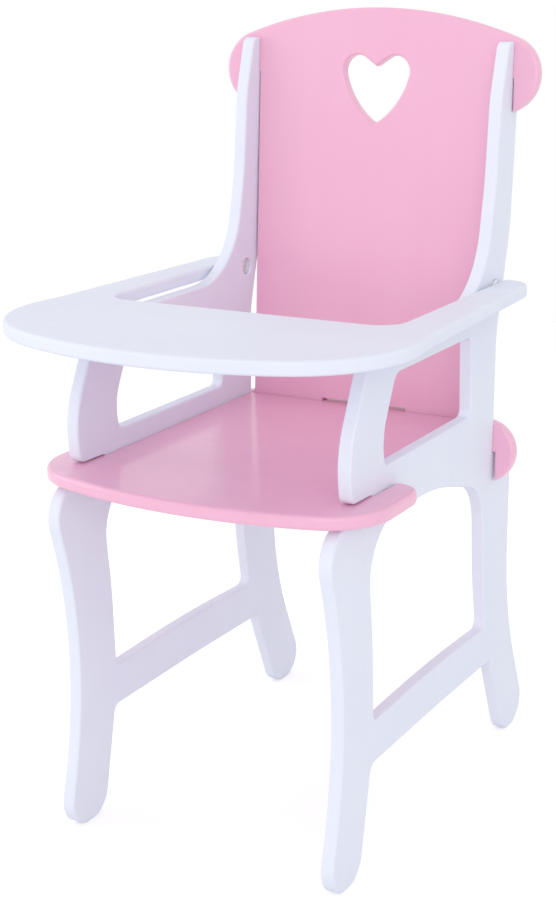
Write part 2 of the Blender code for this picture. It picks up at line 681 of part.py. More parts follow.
def pivot_set(side_name, side, hinge, nylon, zinc):
    """Bush, screw and threaded insert that carry one tray arm, on the hinge's axis."""
    bush_end = HALF_WIDTH + ARM_GAP - FIT_GAP
    bush_start = HALF_WIDTH - BOARD + BUSH_RECESS
    head_start = bush_start + FIT_GAP
    head_end = head_start + SCREW_HEAD_HEIGHT
    seat_face = head_end + FIT_GAP
    pocket = SCREW_HEAD_RADIUS + FIT_GAP
    rim = BUSH_RADIUS - BUSH_CHAMFER
    bush = [
        (bush_start, pocket),
        (bush_start, rim),
        (bush_start + BUSH_CHAMFER, BUSH_RADIUS),
        (bush_end - BUSH_CHAMFER, BUSH_RADIUS),
        (bush_end, rim),
        (bush_end, BUSH_BORE),
        (seat_face, BUSH_BORE),
        (seat_face, pocket),
        (bush_start, pocket),
    ]
    screw = [
        (head_start + SCREW_SOCKET_DEPTH, SCREW_SOCKET),
        (head_start, SCREW_SOCKET),
        (head_start, SCREW_HEAD_RADIUS - BUSH_CHAMFER),
        (head_start + BUSH_CHAMFER, SCREW_HEAD_RADIUS),
        (head_end, SCREW_HEAD_RADIUS),
        (head_end, SCREW_SHANK),
        (head_end + SCREW_LENGTH - BUSH_CHAMFER, SCREW_SHANK),
        (head_end + SCREW_LENGTH, SCREW_SHANK - BUSH_CHAMFER),
    ]
    near = HALF_WIDTH + ARM_GAP + FIT_GAP
    insert = [
        (near, INSERT_BORE),
        (near, INSERT_RADIUS),
        (near + INSERT_LENGTH, INSERT_RADIUS),
        (near + INSERT_LENGTH, INSERT_BORE),
        (near, INSERT_BORE),
    ]
    for piece, profile, socket, finish in (
        ("pivot_bush", bush, 0, nylon),
        ("pivot_screw", screw, SCREW_SOCKET, zinc),
        ("arm_insert", insert, 0, zinc),
    ):
        name = f"{side_name}_{piece}"
        flipped = [(side * station, radius) for station, radius in profile]
        put(name, turned_mesh(name, flipped, socket), finish, (0, 0, 0), (0, 0, 0), hinge)


def build():
    """Model the whole chair."""
    clear_scene()
    white = material("white_paint", WHITE_PAINT, 0.42, 0.0)
    pink = material("pink_paint", PINK_PAINT, 0.40, 0.0)
    nylon = material("white_nylon", WHITE_NYLON, 0.45, 0.0)
    zinc = material("zinc_plate", ZINC, 0.35, 1.0)
    hinge = bpy.data.objects.new("tray_hinge", None)
    bpy.context.collection.objects.link(hinge)
    hinge.location = (0, PIVOT_Y, PIVOT_Z)
    side_panels(white)
    backrest(pink)
    seat(pink)
    tray(white, hinge)
    for side_name, side in (("left", -1), ("right", 1)):
        pivot_set(side_name, side, hinge, nylon, zinc)
    bpy.context.view_layer.update()


build()
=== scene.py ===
"""Looks of the doll's high chair: fine painted boards, pivot hardware, studio light and camera."""

import json
import logging
from dataclasses import dataclass, field
from enum import Enum
from math import cos, pi, radians, sin

import bmesh
import bpy
from mathutils import Matrix, Vector


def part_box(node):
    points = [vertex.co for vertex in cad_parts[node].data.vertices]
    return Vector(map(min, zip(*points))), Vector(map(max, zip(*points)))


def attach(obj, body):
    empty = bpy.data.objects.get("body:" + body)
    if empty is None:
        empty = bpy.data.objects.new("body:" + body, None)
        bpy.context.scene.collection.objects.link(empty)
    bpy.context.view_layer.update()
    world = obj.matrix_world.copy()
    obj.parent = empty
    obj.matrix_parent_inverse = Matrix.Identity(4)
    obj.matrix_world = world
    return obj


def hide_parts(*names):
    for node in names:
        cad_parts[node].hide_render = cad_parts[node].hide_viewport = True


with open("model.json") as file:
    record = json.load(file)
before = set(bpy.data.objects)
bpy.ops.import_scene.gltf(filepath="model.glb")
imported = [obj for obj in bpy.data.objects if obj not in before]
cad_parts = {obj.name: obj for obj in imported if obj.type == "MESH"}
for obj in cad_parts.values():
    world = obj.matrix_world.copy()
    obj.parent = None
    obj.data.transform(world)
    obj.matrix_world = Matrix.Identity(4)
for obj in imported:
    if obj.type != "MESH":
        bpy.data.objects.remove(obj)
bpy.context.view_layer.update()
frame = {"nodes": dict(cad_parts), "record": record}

LOG = logging.getLogger("doll_chair")
MM = 0.001
WELD = 2e-6  # points this close, in metres, are one point
FLAT_SLACK = 1e-5  # a point this far below a board's face is still on it
STRAIGHT_SLACK = 1.5 * WELD  # a point this close to a line is on it
TINY_SQUARE = 1e-18  # stands in for the square of a segment with no length
PALE = (1.0, 1.0, 1.0)

Colour = tuple[float, float, float]
Socket = bpy.types.NodeSocket
Number = Socket | float
Profile = list[tuple[float, float]]


class Body(Enum):
    """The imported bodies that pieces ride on."""

    CHAIR = "frame"
    TRAY = "tray"


class Slot(Enum):
    """The record's material slots."""

    WHITE = "white_paint"
    PINK = "pink_paint"
    NYLON = "nylon"
    ZINC = "zinc"


class Grain(Enum):
    """How wood grain under the paint is stretched: a scale for each axis, smallest along the grain."""

    ACROSS = (0.05, 1.0, 1.0)
    LENGTHWISE = (1.0, 0.05, 1.0)
    UPRIGHT = (1.0, 1.0, 0.05)


class NodeSheet:
    """A short way to lay out and wire the nodes of one tree."""

    COLUMN_WIDTH = 180

    def __init__(self, tree: bpy.types.NodeTree) -> None:
        """Start on a tree.

        Args:
            tree: the node tree that the nodes go into.
        """
        self.tree = tree
        self.column = 0

    def add(self, kind: str, inputs: dict | None = None, **settings) -> bpy.types.Node:
        """Add a node, set it up and wire it.

        Args:
            kind: the node's type, without the word ShaderNode.
            inputs: values or sockets for its inputs, by name or number.
            settings: the node's own properties.

        Returns:
            The new node.
        """
        node = self.tree.nodes.new("ShaderNode" + kind if not kind.startswith("Node") else kind)
        node.location = (self.column * self.COLUMN_WIDTH, 0)
        self.column += 1
        for name, value in settings.items():
            setattr(node, name, value)
        for name, value in (inputs or {}).items():
            if isinstance(value, Socket):
                self.tree.links.new(value, node.inputs[name])
            else:
                node.inputs[name].default_value = value
        return node

    def maths(self, operation: str, first: Number, second: Number = 0.0) -> Socket:
        """Work out one result from two numbers.

        Args:
            operation: the Math node's operation.
            first: a number or a socket.
            second: a number or a socket.

        Returns:
            The result's socket.
        """
        return self.add("Math", {0: first, 1: second}, operation=operation).outputs[0]

    def blend(self, first: Socket, second: Socket, share: float) -> Socket:
        """Add two numbers, each by its share.

        Args:
            first: the first number's socket.
            second: the second number's socket.
            share: the first one's share. The second one's is what is left of 1.

        Returns:
            The result's socket.
        """
        parts = self.maths("MULTIPLY", first, share), self.maths("MULTIPLY", second, 1.0 - share)
        return self.maths("ADD", *parts)

    def span(
        self, value: Socket, low: float, high: float, start: float = 0.0, end: float = 1.0
    ) -> Socket:
        """Map a value smoothly from one span to another.

        Args:
            value: the socket to map.
            low: the value that gives start.
            high: the value that gives end.
            start: the result at low.
            end: the result at high.

        Returns:
            The result's socket.
        """
        node = self.add(
            "MapRange",
            {"Value": value, "From Min": low, "From Max": high, "To Min": start, "To Max": end},
            interpolation_type="SMOOTHSTEP",
        )
        return node.outputs[0]

    def noise(self, place: Socket, scale: Number, detail: float, roughness: float = 0.5) -> Socket:
        """A noise value about 0.5.

        Args:
            place: where the noise is read.
            scale: how fine it is, for each metre.
            detail: octaves.
            roughness: how strong the finer octaves are.

        Returns:
            The noise's socket.
        """
        wires = {"Vector": place, "Scale": scale, "Detail": detail, "Roughness": roughness}
        return self.add("TexNoise", wires).outputs[0]

    def mix(self, share: Number, first: Socket | Colour, second: Socket | Colour) -> Socket:
        """Mix two colours.

        Args:
            share: how much of the second, a number or a socket.
            first: a colour or a socket.
            second: a colour or a socket.

        Returns:
            The mixed colour's socket.
        """
        node = self.add("Mix", data_type="RGBA")
        for socket, value in ((node.inputs[0], share), (node.inputs[6], first), (node.inputs[7], second)):
            if isinstance(value, Socket):
                self.tree.links.new(value, socket)
            elif isinstance(value, tuple):
                socket.default_value = (*value, 1.0)
            else:
                socket.default_value = value
        return node.outputs[2]


class Effects:
    """Shader node groups that several finishes share.

    A scale is the number of a noise's cells in each metre. A pair is the span of a noise, whose middle is
    0.5, that the effect stretches to its full range.
    """

    PORES = (0.30, 0.46)
    PORE_SHARE = 0.45
    CLOUD_SCALE = 14.0
    STREAK_SCALE = 60.0
    CLOUD_SHARE = 0.6
    GLOSS_SCALE = 75.0
    WORN = (0.86, 1.08)
    BEND_SCALE = 9.0
    BEND_REACH = 0.05
    HAIR_WIDTH = 0.012
    PATCH_SCALE = 22.0
    PATCHES = (0.58, 0.72)

    def __init__(self) -> None:
        """Build each group once."""
        self.film = self._paint_film()
        self.wear = self._edge_wear()
        self.handling = self._handling()

    @staticmethod
    def _group(
        name: str, takes: dict[str, object], gives: list[str]
    ) -> tuple[NodeSheet, dict, bpy.types.Node]:
        """Start a group.

        Args:
            name: the group's name.
            takes: its inputs, each a number or a vector to start from.
            gives: its outputs, all of them numbers.

        Returns:
            The sheet to draw on, the inputs' sockets by name, and the output node.
        """
        tree = bpy.data.node_groups.new(name, "ShaderNodeTree")
        for title, value in takes.items():
            kind = "NodeSocketVector" if isinstance(value, tuple) else "NodeSocketFloat"
            socket = tree.interface.new_socket(name=title, in_out="INPUT", socket_type=kind)
            socket.default_value = value
        for title in gives:
            tree.interface.new_socket(name=title, in_out="OUTPUT", socket_type="NodeSocketFloat")
        sheet = NodeSheet(tree)
        source = sheet.add("NodeGroupInput")
        target = sheet.add("NodeGroupOutput")
        return sheet, {title: source.outputs[title] for title in takes}, target

    def _paint_film(self) -> bpy.types.NodeTree:
        """Sprayed paint: orange peel, wood grain showing through, cloudy tone and uneven gloss.

        Returns:
            The group.
        """
        takes = {
            "Place": (0.0, 0.0, 0.0),
            "Stretch": (1.0, 1.0, 1.0),
            "Peel Scale": 900.0,
            "Grain Scale": 420.0,
        }
        sheet, given, out = self._group("paint_film", takes, ["Height", "Tone", "Gloss"])
        stretched = sheet.add(
            "VectorMath", {0: given["Place"], 1: given["Stretch"]}, operation="MULTIPLY"
        ).outputs[0]
        grain = sheet.noise(stretched, given["Grain Scale"], detail=5.0, roughness=0.62)
        pores = sheet.span(grain, *self.PORES)
        peel = sheet.noise(given["Place"], given["Peel Scale"], detail=2.0, roughness=0.45)
        height = sheet.blend(pores, peel, self.PORE_SHARE)
        cloud = sheet.noise(given["Place"], self.CLOUD_SCALE, detail=3.0)
        streak = sheet.noise(stretched, self.STREAK_SCALE, detail=4.0)
        tone = sheet.blend(cloud, streak, self.CLOUD_SHARE)
        gloss = sheet.noise(given["Place"], self.GLOSS_SCALE, detail=4.0, roughness=0.6)
        for title, socket in (("Height", height), ("Tone", tone), ("Gloss", gloss)):
            sheet.tree.links.new(socket, out.inputs[title])
        return sheet.tree

    def _edge_wear(self) -> bpy.types.NodeTree:
        """Where the paint is thin: rounded edges, from the mesh's own edge value, broken up by noise.

        Returns:
            The group.
        """
        takes = {"Place": (0.0, 0.0, 0.0), "Amount": 0.5, "Scale": 240.0}
        sheet, given, out = self._group("edge_wear", takes, ["Mask", "Thin"])
        edge = sheet.add("Attribute", attribute_name="edge").outputs["Fac"]
        breakup = sheet.noise(given["Place"], given["Scale"], detail=6.0, roughness=0.65)
        level = sheet.maths("MULTIPLY", edge, sheet.maths("ADD", breakup, given["Amount"]))
        sheet.tree.links.new(sheet.span(level, *self.WORN), out.inputs["Mask"])
        sheet.tree.links.new(sheet.maths("MULTIPLY", edge, breakup), out.inputs["Thin"])
        return sheet.tree

    def _handling(self) -> bpy.types.NodeTree:
        """Faint hair scratches and rubbed patches from handling.

        Returns:
            The group.
        """
        takes = {"Place": (0.0, 0.0, 0.0), "Scale": 70.0}
        sheet, given, out = self._group("handling", takes, ["Scratch", "Rub"])
        bent = sheet.add(
            "TexNoise", {"Vector": given["Place"], "Scale": self.BEND_SCALE, "Detail": 2.0}
        ).outputs[1]
        warped = sheet.add(
            "VectorMath", {0: bent, 1: (self.BEND_REACH,) * 3, 2: given["Place"]}, operation="MULTIPLY_ADD"
        ).outputs[0]
        lines = sheet.add(
            "TexVoronoi", {"Vector": warped, "Scale": given["Scale"]}, feature="DISTANCE_TO_EDGE"
        ).outputs["Distance"]
        hair = sheet.span(lines, 0.0, self.HAIR_WIDTH, start=1.0, end=0.0)
        patch = sheet.span(sheet.noise(given["Place"], self.PATCH_SCALE, detail=3.0), *self.PATCHES)
        sheet.tree.links.new(sheet.maths("MULTIPLY", hair, patch), out.inputs["Scratch"])
        sheet.tree.links.new(patch, out.inputs["Rub"])
        return sheet.tree


@dataclass(frozen=True)
class Finish:
    """What every finish has: a slot of the record, a colour and a gloss."""

    slot: Slot
    colour: Colour
    roughness: float

    def begin(self, name: str) -> tuple[bpy.types.Material, NodeSheet, bpy.types.Node, Socket]:
        """Start a material.

        Args:
            name: the material's name.

        Returns:
            The material, its sheet, its Principled node and the place sockets are read from.
        """
        made = bpy.data.materials.new(name)
        made.use_nodes = True
        sheet = NodeSheet(made.node_tree)
        shader = made.node_tree.nodes["Principled BSDF"]
        place = sheet.add("TexCoord").outputs["Object"]
        made.diffuse_color = (*self.colour, 1.0)
        return made, sheet, shader, place

    @staticmethod
    def group(sheet: NodeSheet, tree: bpy.types.NodeTree, **values) -> bpy.types.Node:
        """Place a shared effect in a material.

        Args:
            sheet: the material's sheet.
            tree: the effect's group.
            values: its inputs, with underscores for spaces.

        Returns:
            The group node.
        """
        node = sheet.add("Group")
        node.node_tree = tree
        for title, value in values.items():
            socket = node.inputs[title.replace("_", " ")]
            if isinstance(value, Socket):
                sheet.tree.links.new(value, socket)
            else:
                socket.default_value = value
        return node

    @staticmethod
    def wire(
        sheet: NodeSheet, shader: bpy.types.Node, base: Socket, rough: Socket, bump: bpy.types.Node
    ) -> None:
        """Plug colour, roughness and relief into the Principled node.

        Args:
            sheet: the material's sheet.
            shader: the Principled node.
            base: the colour.
            rough: the roughness.
            bump: the relief's node.
        """
        for name, socket in (("Base Color", base), ("Roughness", rough), ("Normal", bump.outputs[0])):
            sheet.tree.links.new(socket, shader.inputs[name])


@dataclass(frozen=True)
class Paint(Finish):
    """Satin lacquer sprayed on a sanded board."""

    shade: Colour
    undercoat: Colour
    gloss_spread: float = 0.10
    coat: float = 0.18
    coat_roughness: float = 0.12
    gleam: float = 0.5
    relief: float = 0.03 * MM
    relief_strength: float = 0.35
    edge_amount: float = 0.34
    tone_span: tuple[float, float] = (0.36, 0.64)
    gloss_span: tuple[float, float] = (0.3, 0.7)
    thin_tint: float = 0.30
    worn_tint: float = 0.45
    scratch_dulling: float = 0.12
    worn_dulling: float = 0.15
    scratch_depth: float = 0.25

    def material(self, effects: Effects, grain: Grain) -> bpy.types.Material:
        """Make the paint's material for boards whose grain runs one way.

        Args:
            effects: the shared groups.
            grain: the grain's direction.

        Returns:
            The material.
        """
        made, sheet, shader, place = self.begin(f"{self.slot.value}_{grain.name.lower()}")
        film = self.group(sheet, effects.film, Place=place, Stretch=grain.value)
        wear = self.group(sheet, effects.wear, Place=place, Amount=self.edge_amount)
        marks = self.group(sheet, effects.handling, Place=place)
        tone = sheet.span(film.outputs["Tone"], *self.tone_span)
        base = sheet.mix(tone, self.shade, self.colour)
        thin = sheet.maths("MULTIPLY", wear.outputs["Thin"], self.thin_tint)
        base = sheet.mix(thin, base, self.shade)
        worn = sheet.maths("MULTIPLY", wear.outputs["Mask"], self.worn_tint)
        base = sheet.mix(worn, base, self.undercoat)
        spread = self.gloss_spread / 2
        gloss = sheet.span(film.outputs["Gloss"], *self.gloss_span, -spread, spread)
        rough = sheet.maths("ADD", gloss, self.roughness)
        scratched = sheet.maths("MULTIPLY", marks.outputs["Scratch"], self.scratch_dulling)
        rubbed = sheet.maths("MULTIPLY", wear.outputs["Mask"], self.worn_dulling)
        rough = sheet.maths("ADD", sheet.maths("ADD", rough, scratched), rubbed)
        dent = sheet.maths("MULTIPLY", marks.outputs["Scratch"], -self.scratch_depth)
        height = sheet.maths("ADD", film.outputs["Height"], dent)
        relief = {"Height": height, "Distance": self.relief, "Strength": self.relief_strength}
        self.wire(sheet, shader, base, rough, sheet.add("Bump", relief))
        shader.inputs["Specular IOR Level"].default_value = self.gleam
        shader.inputs["Coat Weight"].default_value = self.coat
        shader.inputs["Coat Roughness"].default_value = self.coat_roughness
        return made


@dataclass(frozen=True)
class Nylon(Finish):
    """Turned white nylon, finely lined by the tool."""

    lining: tuple[float, float, float] = (6.0, 1.0, 1.0)
    peel_scale: float = 1500.0
    darkest: float = 0.93
    dulling: float = 0.12
    relief: float = 0.02 * MM
    relief_strength: float = 0.4

    def material(self, effects: Effects) -> bpy.types.Material:
        """Make the nylon's material.

        Args:
            effects: the shared groups.

        Returns:
            The material.
        """
        made, sheet, shader, place = self.begin(self.slot.value)
        film = self.group(sheet, effects.film, Place=place, Stretch=self.lining, Peel_Scale=self.peel_scale)
        dark = tuple(self.darkest * part for part in self.colour)
        base = sheet.mix(film.outputs["Tone"], dark, self.colour)
        dulled = sheet.maths("MULTIPLY", film.outputs["Gloss"], self.dulling)
        rough = sheet.maths("ADD", dulled, self.roughness)
        relief = {
            "Height": film.outputs["Height"],
            "Distance": self.relief,
            "Strength": self.relief_strength,
        }
        self.wire(sheet, shader, base, rough, sheet.add("Bump", relief))
        return made


@dataclass(frozen=True)
class Zinc(Finish):
    """Pale zinc flake plate on steel, slightly rubbed."""

    metal: float = 0.35
    flake_scale: float = 2500.0
    mark_scale: float = 900.0
    darkest: float = 0.78
    dulling: float = 0.12
    relief: float = 0.01 * MM
    relief_strength: float = 0.5

    def material(self, effects: Effects) -> bpy.types.Material:
        """Make the zinc's material.

        Args:
            effects: the shared groups.

        Returns:
            The material.
        """
        made, sheet, shader, place = self.begin(self.slot.value)
        film = self.group(sheet, effects.film, Place=place, Peel_Scale=self.flake_scale)
        marks = self.group(sheet, effects.handling, Place=place, Scale=self.mark_scale)
        dark = tuple(self.darkest * part for part in self.colour)
        base = sheet.mix(film.outputs["Tone"], dark, self.colour)
        dulled = sheet.maths("MULTIPLY", marks.outputs["Rub"], self.dulling)
        rough = sheet.maths("ADD", dulled, self.roughness)
        relief = {
            "Height": film.outputs["Height"],
            "Distance": self.relief,
            "Strength": self.relief_strength,
        }
        self.wire(sheet, shader, base, rough, sheet.add("Bump", relief))
        shader.inputs["Metallic"].default_value = self.metal
        return made


@dataclass(frozen=True)
class OutlinePoint:
    """One point of a board's outline, with the radius of the rounded edge there."""

    spot: Vector
    edge: float
    corner: bool


class BoardPlan:
    """A flat board's plane, thickness and outlines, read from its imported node."""

    SIDEWAYS = 0.9
    CORNER_TURN = radians(58)
    LEAST_MITRE = 0.5

    def __init__(self, name: str, pocket: "Pocket | None" = None) -> None:
        """Read the board.

        Args:
            name: the node's name.
            pocket: a hole in the board's edge that its outline closes over.
        """
        solid = bmesh.new()
        solid.from_mesh(frame["nodes"][name].data)
        bmesh.ops.remove_doubles(solid, verts=solid.verts, dist=WELD)
        upright = self._normal(solid)
        start = Vector((0.0, 1.0, 0.0)) if abs(upright.x) > self.SIDEWAYS else Vector((1.0, 0.0, 0.0))
        across = (start - upright * start.dot(upright)).normalized()
        self.axes = Matrix((across, upright.cross(across), upright))
        levels = [vert.co.dot(upright) for vert in solid.verts]
        self.thickness = max(levels) - min(levels)
        self.origin = upright * ((max(levels) + min(levels)) / 2)
        for vert in solid.verts:
            vert.co = self.axes @ (vert.co - self.origin)
        rims = self._rims(solid)
        cut = bmesh.ops.bisect_plane(
            solid,
            geom=solid.verts[:] + solid.edges[:] + solid.faces[:],
            plane_co=(0, 0, 0),
            plane_no=(0, 0, 1),
            clear_inner=True,
            clear_outer=True,
        )
        loops = self._chains([item for item in cut["geom_cut"] if isinstance(item, bmesh.types.BMEdge)])
        if pocket:
            loops = [pocket.close(loop, self) for loop in loops]
        self.loops = [self._measured(self._straightened(loop), rims) for loop in loops]
        self.loops.sort(key=lambda loop: -abs(self.area(loop)))
        solid.free()

    @staticmethod
    def _normal(solid: bmesh.types.BMesh) -> Vector:
        """The direction that most of the board's surface faces.

        Args:
            solid: the board's mesh.

        Returns:
            The unit normal, towards the positive side.
        """
        sums: dict[tuple, Vector] = {}
        for face in solid.faces:
            normal = face.normal.copy()
            if max(normal, key=abs) < 0:
                normal.negate()
            key = tuple(round(part, 2) for part in normal)
            sums[key] = sums.get(key, Vector((0, 0, 0))) + normal * face.calc_area()
        return max(sums.values(), key=lambda total: total.length).normalized()

    def _rims(self, solid: bmesh.types.BMesh) -> list[tuple[Vector, Vector]]:
        """The borders of the board's flat upper face.

        Args:
            solid: the board's mesh, in its own plane.

        Returns:
            Their segments.
        """
        top = self.thickness / 2 - FLAT_SLACK
        rims = []
        for edge in solid.edges:
            flats = [min(vert.co.z for vert in face.verts) > top for face in edge.link_faces]
            if len(flats) == 2 and flats[0] != flats[1]:
                rims.append((edge.verts[0].co.xy.copy(), edge.verts[1].co.xy.copy()))
        return rims

    @staticmethod
    def _chains(edges: list) -> list[list[Vector]]:
        """Chain the cut's edges into closed loops.

        Args:
            edges: the cut's edges.

        Returns:
            The loops' points.
        """
        links: dict = {}
        for edge in edges:
            for here, there in (edge.verts, reversed(edge.verts[:])):
                links.setdefault(here, []).append(there)
        loops, seen = [], set()
        for first in links:
            if first in seen:
                continue
            loop, before, here = [], None, first
            while here not in seen:
                seen.add(here)
                loop.append(here.co.xy.copy())
                onward = [vert for vert in links[here] if vert is not before and vert not in seen]
                before, here = here, (onward[0] if onward else first)
            loops.append(loop)
        return [loop for loop in loops if len(loop) > 2]

    @staticmethod
    def _straightened(loop: list[Vector]) -> list[Vector]:
        """Drop the points that lie on a straight line between their neighbours.

        Args:
            loop: a closed loop.

        Returns:
            The shorter loop.
        """
        kept = []
        for index, here in enumerate(loop):
            before = kept[-1] if kept else loop[index - 1]
            after = loop[(index + 1) % len(loop)]
            line = after - before
            if line.length < WELD or abs(line.normalized().cross(here - before)) > STRAIGHT_SLACK:
                kept.append(here)
        return kept

    @staticmethod
    def _measured(loop: list[Vector], rims: list) -> list[OutlinePoint]:
        """Give each point its edge radius, and say where the outline has a sharp corner.

        Args:
            loop: a closed loop.
            rims: the borders of the flat face.

        Returns:
            The outline's points.
        """
        points = []
        for index, here in enumerate(loop):
            came = (here - loop[index - 1]).normalized()
            goes = (loop[(index + 1) % len(loop)] - here).normalized()
            turn = came.angle(goes)
            gap = min(segment_gap(here, start, end) for start, end in rims)
            edge = gap * max(cos(turn / 2), BoardPlan.LEAST_MITRE)
            points.append(OutlinePoint(here, edge, turn > BoardPlan.CORNER_TURN))
        return points

    @staticmethod
    def area(loop: list[OutlinePoint]) -> float:
        """Signed area, positive when the points run counter-clockwise.

        Args:
            loop: a closed outline.

        Returns:
            The area.
        """
        pairs = zip([loop[-1]] + loop[:-1], loop)
        return sum(before.spot.cross(here.spot) for before, here in pairs) / 2


def segment_gap(point: Vector, start: Vector, end: Vector) -> float:
    """How far a point is from a segment.

    Args:
        point: the point.
        start: the segment's first end.
        end: its other end.

    Returns:
        The distance.
    """
    line = end - start
    share = (point - start).dot(line) / max(line.length_squared, TINY_SQUARE)
    return (start + line * min(max(share, 0.0), 1.0) - point).length


@dataclass
class Pocket:
    """A blind round hole in both arms' inner edges, on the hinge's axis."""

    radius: float = 3.2 * MM
    reach: float = 12.0 * MM
    mouth: float = 102.0 * MM
    sides: int = 48
    slack: float = 0.05 * MM
    level_slack: float = 0.2 * MM
    run_in: float = 3.0 * MM

    def centre(self) -> Vector:
        """A point on the hinge's axis, from the insert that sits in the hole.

        Returns:
            The insert's middle.
        """
        low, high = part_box("right_arm_insert")
        return (low + high) / 2

    def close(self, loop: list[Vector], plan: BoardPlan) -> list[Vector]:
        """Leave the hole out of an outline that was cut at its level.

        Args:
            loop: the outline.
            plan: the board.

        Returns:
            The outline without the hole's points.
        """
        level = self.centre().y - plan.origin.y
        kept = []
        for point in loop:
            beside = abs(point.y - level) < self.radius + self.level_slack
            inside = self.mouth + self.slack < abs(point.x) < self.mouth + self.reach + self.slack
            if not (beside and inside):
                kept.append(point)
        return kept

    def cut(self, board: bpy.types.Object) -> None:
        """Cut the hole into both arms.

        Args:
            board: the tray's fine board.
        """
        centre = self.centre()
        for side in (-1, 1):
            drill = bmesh.new()
            near, far = self.mouth - self.run_in, self.mouth + self.reach
            middle = Matrix.Translation((side * (near + far) / 2, centre.y, centre.z))
            bmesh.ops.create_cone(
                drill,
                cap_ends=True,
                segments=self.sides,
                radius1=self.radius,
                radius2=self.radius,
                depth=far - near,
                matrix=middle @ Matrix.Rotation(pi / 2, 4, "Y"),
            )
            tool = bpy.data.objects.new("drill", bpy.data.meshes.new("drill"))
            drill.to_mesh(tool.data)
            drill.free()
            bpy.context.collection.objects.link(tool)
            modifier = board.modifiers.new("pocket", "BOOLEAN")
            modifier.operation = "DIFFERENCE"
            modifier.object = tool
            bpy.context.view_layer.update()
            graph = bpy.context.evaluated_depsgraph_get()
            cut = bpy.data.meshes.new_from_object(board.evaluated_get(graph))
            board.modifiers.remove(modifier)
            board.data = cut
            bpy.data.objects.remove(tool)


@dataclass
class Board:
    """A painted board, rebuilt from its packed outline with smooth curves and round edges."""

    node: str
    body: Body
    grain: Grain
    round_steps: int = 7
    curve_steps: int = 2
    longest_step: float = 12.0 * MM
    sharp_angle: float = radians(38)
    pocket: Pocket | None = None

    def smoothed(self, loop: list[OutlinePoint]) -> list[OutlinePoint]:
        """Add points on the outline's curves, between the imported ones.

        Args:
            loop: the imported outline.

        Returns:
            The finer outline.
        """
        fine = []
        count = len(loop)
        for index, here in enumerate(loop):
            before, after, beyond = loop[index - 1], loop[(index + 1) % count], loop[(index + 2) % count]
            line = after.spot - here.spot
            leave = line if here.corner else (after.spot - before.spot)
            arrive = line if after.corner else (beyond.spot - here.spot)
            leave, arrive = leave.normalized() * line.length, arrive.normalized() * line.length
            fine.append(here)
            steps = 1 if line.length > self.longest_step else self.curve_steps
            for step in range(1, steps):
                share = step / steps
                keep = 2 * share**3 - 3 * share**2 + 1
                spot = (
                    here.spot * keep
                    + after.spot * (1 - keep)
                    + leave * (share**3 - 2 * share**2 + share)
                    + arrive * (share**3 - share**2)
                )
                fine.append(OutlinePoint(spot, here.edge + (after.edge - here.edge) * share, False))
        return fine

    @staticmethod
    def inset(loop: list[OutlinePoint], share: float) -> list[Vector]:
        """Move an outline into the material by a share of each point's edge radius.

        Args:
            loop: the outline, with the material on its left.
            share: the share.

        Returns:
            The moved points.
        """
        moved = []
        for index, here in enumerate(loop):
            came = (here.spot - loop[index - 1].spot).normalized()
            goes = (loop[(index + 1) % len(loop)].spot - here.spot).normalized()
            left = Vector((-came.y - goes.y, came.x + goes.x)).normalized()
            mitre = max(left.dot(Vector((-came.y, came.x))), BoardPlan.LEAST_MITRE)
            moved.append(here.spot + left * (here.edge * share / mitre))
        return moved

    def mesh(self) -> bpy.types.Mesh:
        """Build the fine board.

        Returns:
            The mesh, in the row frame.
        """
        plan = BoardPlan(self.node, self.pocket)
        solid = bmesh.new()
        wear = solid.verts.layers.float.new("edge")
        caps: dict[int, list] = {1: [], -1: []}
        for number, packed in enumerate(plan.loops):
            loop = self.smoothed(packed)
            if (plan.area(loop) > 0) != (number == 0):
                loop.reverse()
            rings = []
            for side in (1, -1):
                turns = [pi / 2 * step / self.round_steps for step in range(self.round_steps + 1)]
                for turn in turns if side > 0 else reversed(turns):
                    ring = []
                    for spot, point in zip(self.inset(loop, 1 - sin(turn)), loop):
                        level = side * (plan.thickness / 2 - point.edge * (1 - cos(turn)))
                        vert = solid.verts.new((spot.x, spot.y, level))
                        vert[wear] = sin(2 * turn)
                        ring.append(vert)
                    rings.append(ring)
            for upper, lower in zip(rings, rings[1:]):
                for index in range(len(upper)):
                    solid.faces.new((upper[index - 1], lower[index - 1], lower[index], upper[index]))
            for side, ring in ((1, rings[0]), (-1, rings[-1])):
                for index in range(len(ring)):
                    caps[side].append(solid.edges.get((ring[index - 1], ring[index])))
        for side in (1, -1):
            bmesh.ops.triangle_fill(solid, edges=caps[side], use_beauty=True)
        back = plan.axes.transposed()
        for vert in solid.verts:
            vert.co = back @ vert.co + plan.origin
        bmesh.ops.recalc_face_normals(solid, faces=solid.faces[:])
        data = bpy.data.meshes.new(self.node)
        solid.to_mesh(data)
        solid.free()
        return data

    def build(self, finish: Paint, effects: Effects) -> bpy.types.Object:
        """Build the board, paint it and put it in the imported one's place.

        Args:
            finish: its paint.
            effects: the shared groups.

        Returns:
            The finished piece.
        """
        piece = bpy.data.objects.new(f"{self.node}_painted", self.mesh())
        bpy.context.collection.objects.link(piece)
        if self.pocket:
            self.pocket.cut(piece)
        piece.data.materials.clear()
        piece.data.materials.append(finish.material(effects, self.grain))
        piece.data.shade_smooth()
        piece.data.set_sharp_from_angle(angle=self.sharp_angle)
        weighted = piece.modifiers.new("even_shading", "WEIGHTED_NORMAL")
        weighted.keep_sharp = True
        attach(piece, self.body.value)
        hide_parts(self.node)
        LOG.info("%s: %d faces, rides on %s", piece.name, len(piece.data.polygons), self.body.value)
        return piece


